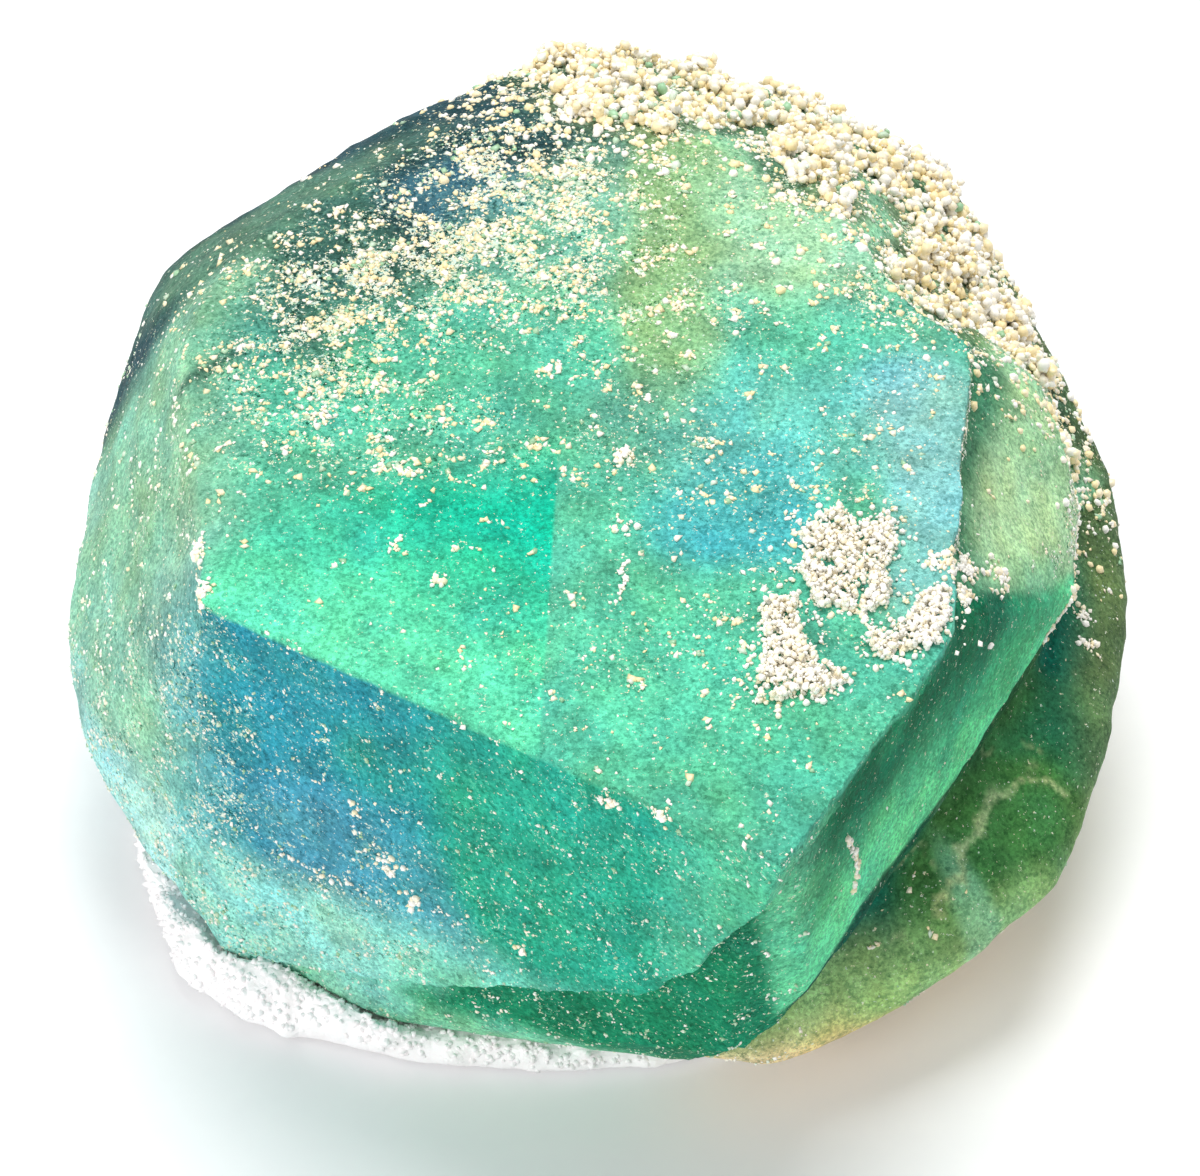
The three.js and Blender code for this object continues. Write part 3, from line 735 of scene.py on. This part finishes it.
def crystal_tones(skin, gap_mm):
    """The crystal's colour at each point: its zones of green and blue, seen through the frosted skin, with painted
    shade under the upper level and the rim, in the crease and by the crust, and painted light bounced onto the left
    wall's foot.
    """
    zones = [ledge_zone(skin), right_wall_zone(skin), bevel_zone(skin), left_wall_zone(skin), top_zone(skin),
             crease_shade_zone(skin), crust_shade_zone(skin, gap_mm), healed_crack_zone(skin)]
    tone = body_tones(skin)
    for share, zone_tone in zones:
        tone = blend(share, tone, zone_tone)
    return tone


def mottle(points):
    """Soft clouds of darker and paler, bluer and greener, as factors of the colour at each point."""
    light = 0.26 * cloud(points, 2.6, 31.0) + 0.24 * cloud(points, 1.1, 33.0)
    blue = 0.36 * cloud(points, 3.4, 35.0) + 0.26 * cloud(points, 1.4, 37.0)
    return (1 + light)[:, None] * (1 + blue[:, None] * np.array([-0.35, 0.0, 0.4]))


def fluorite_finish():
    """Frosted green crystal: the zones' tones, the triangle of painted light shining through it with its sharp
    edge, and a sugary skin with painted shade and highlights of a fine relief.
    """
    green = Finish("frosted_fluorite")
    along = green.along(ALONG, CUBE_MIDDLE_MM)
    back = green.along(BACK, CUBE_MIDDLE_MM)
    dust = green.attribute("dust")
    tone = green.add("ShaderNodeAttribute", {"attribute_name": "tone"}).outputs["Color"]
    painted_glow_colour = green.add("ShaderNodeAttribute", {"attribute_name": "painted_glow_tone"}).outputs["Color"]
    # The triangle of painted light through the crystal: sharp on one edge, fading on the other.
    triangle = green.ease(beside(along, back, PAINTED_GLOW_EDGE), -0.1, 0.1) * green.attribute("painted_glow")
    tone = green.mix(triangle, tone, painted_glow_colour)

    # The skin's grit: a little painted shade and highlight of a fine relief, bluer and yellower, its palest flecks
    # crowded where the dust lies, and small pits of painted shade.
    grit = green.clouds(0.24, detail=3.0, rough=0.75)
    parts = green.add("ShaderNodeSeparateColor", None, {"Color": grit.outputs["Color"]})
    shade, warmth, chance = (Value(green, parts.outputs[part]) for part in ("Red", "Green", "Blue"))
    warmth = green.ease(warmth, 0.40, 0.60)
    fine = green.noise(0.7, rough=0.6)
    # Painted shade of the fine relief where the grit is low.
    tone = green.mix(green.ease(shade + fine * 0.3, 0.66, 0.50) * 0.5, tone, colour(112, 170, 160), "MULTIPLY")
    pale = green.mix(warmth, colour(170, 228, 232), colour(186, 226, 142))
    # Painted highlight of the fine relief where the grit is high.
    tone = green.mix(green.ease(shade, 0.50, 0.62) * 0.60, tone, (1.5, 1.55, 1.5, 1), "MULTIPLY")
    tone = green.mix(green.ease(shade, 0.51, 0.66) * (dust * 0.4), tone, pale)
    # Painted shade in small pits, more of them where the dust lies.
    painted_pit_shade = green.ease(chance, 0.415, 0.380) * (0.35 + dust * 0.8)
    tone = green.mix(painted_pit_shade, tone, colour(56, 120, 110), "MULTIPLY")
    speck = green.ease(chance + dust * 0.11, 0.650, 0.665)
    tone = green.mix(speck * 0.85, tone, green.mix(warmth, colour(224, 244, 230), colour(252, 240, 200)))

    skin = green.bump(shade * 0.4 + fine, 0.14)
    green.surface(base_color=tone, roughness=0.5 + fine * 0.2, normal=skin, transmission=0.15, ior=1.434,
                  specular=0.05, absorbs=((0.12, 0.86, 0.62, 1), 260.0))
    return green


def quartz_finish(name, pale, warm, green_shade=None):
    """Sugary quartz: each grain pale or warm by its own tint, or, below 0, painted green as shade."""
    quartz = Finish(name)
    tint = quartz.attribute("tint")
    fine = quartz.noise(0.25)
    tone = quartz.mix(quartz.ease(tint + (fine - 0.5) * 0.5, 0.1, 0.95), pale, warm)
    if green_shade:
        tone = quartz.mix(quartz.ease(tint, 0.0, -0.9), tone, green_shade)
    quartz.surface(base_color=tone, roughness=0.25 + fine * 0.35, normal=quartz.bump(fine, 0.03), ior=1.544)
    return quartz


# Pieces

# Grains on a square millimetre, where each kind lies thickest.
MATRIX_POINTS_PER_MM2 = 8.0
CRUST_PER_MM2 = 12.0
MARGIN_PER_MM2 = 10.0
PATCH_PER_MM2 = 26.0
DUST_PER_MM2 = 3.4
FINE_DUST_PER_MM2 = 12.0


def grain_sizes(count, rng, least_mm, spread_mm, power):
    """Random sizes over a spread, with fewer of the large ones for a higher power."""
    return (least_mm + spread_mm * rng.random(count) ** power) * MM


def grain_tints(green_shaded, rng):
    """A random tint for each grain, which is below 0, and so painted green as shade, as often as its share says."""
    count = len(green_shaded)
    return np.where(rng.random(count) < green_shaded, -rng.random(count), rng.random(count))


def crispness(points):
    """1 on the sharp steps and walls at the front and right, 0 on the rounded flanks and back."""
    along, back, _ = in_cube(points).T
    walls = np.maximum(ease(-back, 13, 16), ease(along, 11, 14))
    inside = ease(along, -10.5, -8) * (1 - ease(along, 21.0, 21.6)) * (1 - ease(back, 9, 12))
    return walls * inside * ease(over_rim(points), -1.2, -0.3)


def crystal_relief_mm(points, normals, wobble, crisp):
    """How far the skin stands out: swells, waves and a sugary grain, less on the crisp walls and the top."""
    fine = cloud(points, 0.8, 8.0)
    swell_mm = 0.35 * ease(points[:, 2] / MM, 2.0, 5.0) * ease(normals[:, 2], 0.98, 0.8)
    soft_mm = swell_mm + 0.12 * wobble + 0.14 * cloud(points, 2.0, 3.0) + 0.07 * fine
    crisp_mm = 0.02 * wobble + 0.07 * cloud(points, 1.5, 6.0) + 0.06 * fine
    flat = ease(normals[:, 2], 0.93, 0.99)
    return soft_mm * (1 - crisp) * (1 - 0.6 * flat) + crisp_mm * crisp * (1 - 0.4 * flat)


def make_fluorite():
    """The green crystal. Gives the piece, how thick dust lies at its points and their distance to the crust."""
    piece = refined("fluorite_cube", "fluorite_crystal", CRYSTAL_GRID_SHARE)
    points = points_of(piece)
    crisp = crispness(points)
    move_points(piece, softened(piece, points, np.clip(1 - crisp, 0.02, 1), rounds=80))
    points, normals = points_of(piece), normals_of(piece)
    wobble = 2 * cloud(points, 5.0)
    drift = 2 * cloud(points, 9.0, 4.0)
    points = points + normals * crystal_relief_mm(points, normals, wobble, crisp)[:, None] * MM
    move_points(piece, points)

    skin = Skin(points, wobble, drift)
    gap_mm = crust_gap(points)
    dust = dust_on(points, normals_of(piece), gap_mm)
    # The triangle of painted light through the crystal: its tone, paler towards the front edge, and how strongly it
    # shows, fading out at its far side and only on the top face.
    painted_glow_colour = blend(ease(skin.back, -9.0, -19.5), colour(4, 188, 150), colour(98, 218, 172))
    clouds = mottle(points)
    for name, tones in (("tone", crystal_tones(skin, gap_mm)), ("painted_glow_tone", painted_glow_colour)):
        layer = piece.data.attributes.new(name, "FLOAT_VECTOR", "POINT")
        layer.data.foreach_set("vector", (tones * clouds).astype(np.float32).ravel())
    painted_glow = ease(beside(skin.along, skin.back, PAINTED_GLOW_FADE) + wobble, -0.5, 4.5) * on_top(skin.height)
    set_attribute(piece, "painted_glow", painted_glow)
    set_attribute(piece, "dust", dust)
    finish_piece(piece, fluorite_finish(), "fluorite_cube")
    return piece, dust, gap_mm


def make_base(shapes, rng):
    """The white matrix: lumpy massive quartz with a sugary skin, and the small points that stand on it."""
    matrix = refined("quartz_base", "quartz_matrix", MATRIX_GRID_SHARE)
    points = softened(matrix, points_of(matrix), np.ones(len(matrix.data.vertices)), rounds=12)
    move_points(matrix, points)
    lumps = 0.35 * cloud(points, 2.4) + 0.18 * cloud(points, 0.9, 5.0)
    free = ease(points[:, 2] / MM, 0.05, 0.6)
    points = points + normals_of(matrix) * (lumps * free * MM)[:, None]
    points[:, 2] = np.maximum(points[:, 2], 0.0)
    move_points(matrix, points)
    set_attribute(matrix, "tint", 0.3 + 0.3 * cloud(points, 3.0, 9.0))
    finish = quartz_finish("white_quartz", pale=colour(255, 253, 253), warm=colour(252, 240, 240))
    finish_piece(matrix, finish, "quartz_base")

    away = ease(np.hypot(points[:, 0], points[:, 1]) / MM, 15, 18)
    outside = away * ease(points[:, 2] / MM, 0.2, 0.7) * ease(normals_of(matrix)[:, 2], -0.3, 0.2)
    spots, facing = spots_on(matrix, outside, MATRIX_POINTS_PER_MM2, rng)
    sizes = rng.uniform(0.20, 0.44, len(spots)) * MM
    tints = 0.5 * rng.random(len(spots))
    sugar = strewn("quartz_matrix_points", shapes["points"], spots, facing, sizes, tints, rng, lean=0.9, sink=0.35)
    finish_piece(sugar, finish)


def make_crust(crystal, gap_mm, shapes, finish, rng):
    """The druse on the shoulder: grains heaped on the fluorite's skin with gaps between, and its thin margin."""
    spots, _ = spots_all_over(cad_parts["quartz_shoulder_crust"], CRUST_PER_MM2, rng)
    tree = tree_of(crystal)
    nearest = [tree.find_nearest(Vector(spot)) for spot in spots]
    ground = np.array([found[0] for found in nearest])
    out = np.array([found[1] for found in nearest])
    heap = ease(cloud(ground, 1.7) + 0.8 * cloud(ground, 0.8, 5.0), -0.14, 0.42)
    kept = rng.random(len(heap)) < 0.08 + 0.92 * heap
    ground, out, heap = ground[kept], out[kept], heap[kept]
    lift_mm = rng.random(len(heap)) * heap * 0.75 + 0.08
    sizes = grain_sizes(len(heap), rng, least_mm=0.28, spread_mm=0.46, power=2.2)
    # Grains in the crust's gaps are more often painted green as shade.
    tints = grain_tints(0.12 * (1 - heap) + 0.02, rng)
    spots = ground + out * lift_mm[:, None] * MM
    crust = strewn("shoulder_druse", shapes["grains"], spots, out, sizes, tints, rng, lean=0.9)
    finish_piece(crust, finish, "quartz_shoulder_crust")

    skin = points_of(crystal)
    heaped = ease(cloud(skin, 1.5, 3.0) + 0.6 * cloud(skin, 0.7, 9.0), -0.15, 0.4)
    thinning = np.exp(-gap_mm / 2.3) * (0.06 + 0.94 * heaped) * ease(normals_of(crystal)[:, 2], -0.2, 0.2)
    spots, facing = spots_on(crystal, thinning, MARGIN_PER_MM2, rng)
    sizes = grain_sizes(len(spots), rng, least_mm=0.22, spread_mm=0.40, power=2)
    tints = grain_tints(np.full(len(spots), 0.06), rng)
    margin = strewn("shoulder_druse_margin", shapes["grains"], spots, facing, sizes, tints, rng, lean=0.9)
    finish_piece(margin, finish)


def make_patches(shapes, finish, rng):
    """The three small crusts on the top face, with some stray grains round each."""
    for number in (1, 2, 3):
        node = f"quartz_patch_{number}"
        spots, facing = spots_all_over(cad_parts[node], PATCH_PER_MM2, rng)
        heaped = cloud(spots, 0.9, 6.0) + 0.5 * cloud(spots, 0.4, 7.0) > -0.3
        spots, facing = clustered(spots[heaped], facing[heaped], most=2, reach_mm=0.16, rng=rng)
        stray = rng.random(len(spots)) < 0.2
        spots[stray] += rng.standard_normal((stray.sum(), 3)) * 0.7 * MM
        lift_mm = np.where(stray, 0.05, 0.5 * rng.random(len(spots)))
        spots[:, 2] = (TOP_MM + lift_mm) * MM
        sizes = rng.uniform(0.17, 0.38, len(spots)) * MM
        tints = 0.6 * rng.random(len(spots))
        kinds = shapes["grains"] + shapes["flakes"]
        patch = strewn(f"patch_druse_{number}", kinds, spots, facing, sizes, tints, rng, lean=0.9)
        finish_piece(patch, finish, node)


def make_dust(crystal, dust, shapes, finish, rng):
    """Flakes strewn singly and in short crooked lines over the crystal, and the finest ones between them."""
    def strew(name, per_mm2, most, reach_mm, least_mm, spread_mm):
        spots, facing = spots_on(crystal, dust, per_mm2, rng)
        spots, facing = clustered(spots, facing, most, reach_mm, rng)
        on_side = ease(facing[:, 2], 0.7, 0.3)
        sizes = grain_sizes(len(spots), rng, least_mm, spread_mm, power=1.8) * (1 - 0.4 * on_side)
        # Grains on the walls are more often painted green as shade.
        tints = grain_tints(0.2 + 0.4 * on_side, rng)
        tints = np.where(tints > 0, (0.2 + 0.8 * tints) * (1 - 0.5 * on_side), tints)
        made = strewn(name, shapes["flakes"], spots, facing, sizes, tints, rng, lean=0.6)
        finish_piece(made, finish)
    strew("quartz_dust", DUST_PER_MM2, most=5, reach_mm=0.40, least_mm=0.22, spread_mm=0.36)
    strew("fine_quartz_dust", FINE_DUST_PER_MM2, most=1, reach_mm=0.0, least_mm=0.10, spread_mm=0.16)


def from_cube(along, back, height):
    """A place along the cube's axes, in millimetres, as a point in metres."""
    return (CUBE_MIDDLE_MM + along * ALONG + back * BACK + np.array([0, 0, height])) * MM


def make_flecks(crystal, shapes, finish, rng):
    """The groups of grains that stand out, and the crusted cracks."""
    tree = tree_of(crystal)
    places = []
    for along, back, height, half_mm, count in FLECKS_MM:
        places += list(from_cube(along, back, height) + rng.standard_normal((count, 3)) * half_mm * 0.6 * MM)
    for path, count in THREADS_MM:
        corners = np.array([from_cube(*corner) for corner in path])
        steps = np.linspace(0, len(path) - 1, count)
        line = np.stack([np.interp(steps, np.arange(len(path)), corners[:, axis]) for axis in range(3)], axis=1)
        places += list(line + rng.standard_normal((count, 3)) * 0.10 * MM)
    nearest = [tree.find_nearest(Vector(place)) for place in places]
    spots = np.array([found[0] for found in nearest])
    facing = np.array([found[1] for found in nearest])
    sizes = grain_sizes(len(spots), rng, least_mm=0.16, spread_mm=0.26, power=1.5)
    tints = 0.7 * rng.random(len(spots))
    kinds = shapes["grains"][:4] + shapes["flakes"]
    flecks = strewn("quartz_flecks", kinds, spots, facing, sizes, tints, rng, lean=0.8, sink=-0.1)
    finish_piece(flecks, finish)


make_camera()
make_floor()
make_lights()
rng = np.random.default_rng(SEED)
shapes = {
    "grains": [blunt_grain(rng) for _ in range(8)],
    "flakes": [small_flake(rng) for _ in range(8)],
    "points": [quartz_point(rng) for _ in range(8)],
}
cream = quartz_finish("cream_quartz", pale=colour(255, 252, 244), warm=colour(252, 232, 180),
                      green_shade=colour(156, 200, 158))
crystal, dust, gap_mm = make_fluorite()
make_base(shapes, rng)
make_crust(crystal, gap_mm, shapes, cream, rng)
make_patches(shapes, cream, rng)
make_dust(crystal, dust, shapes, cream, rng)
make_flecks(crystal, shapes, cream, rng)
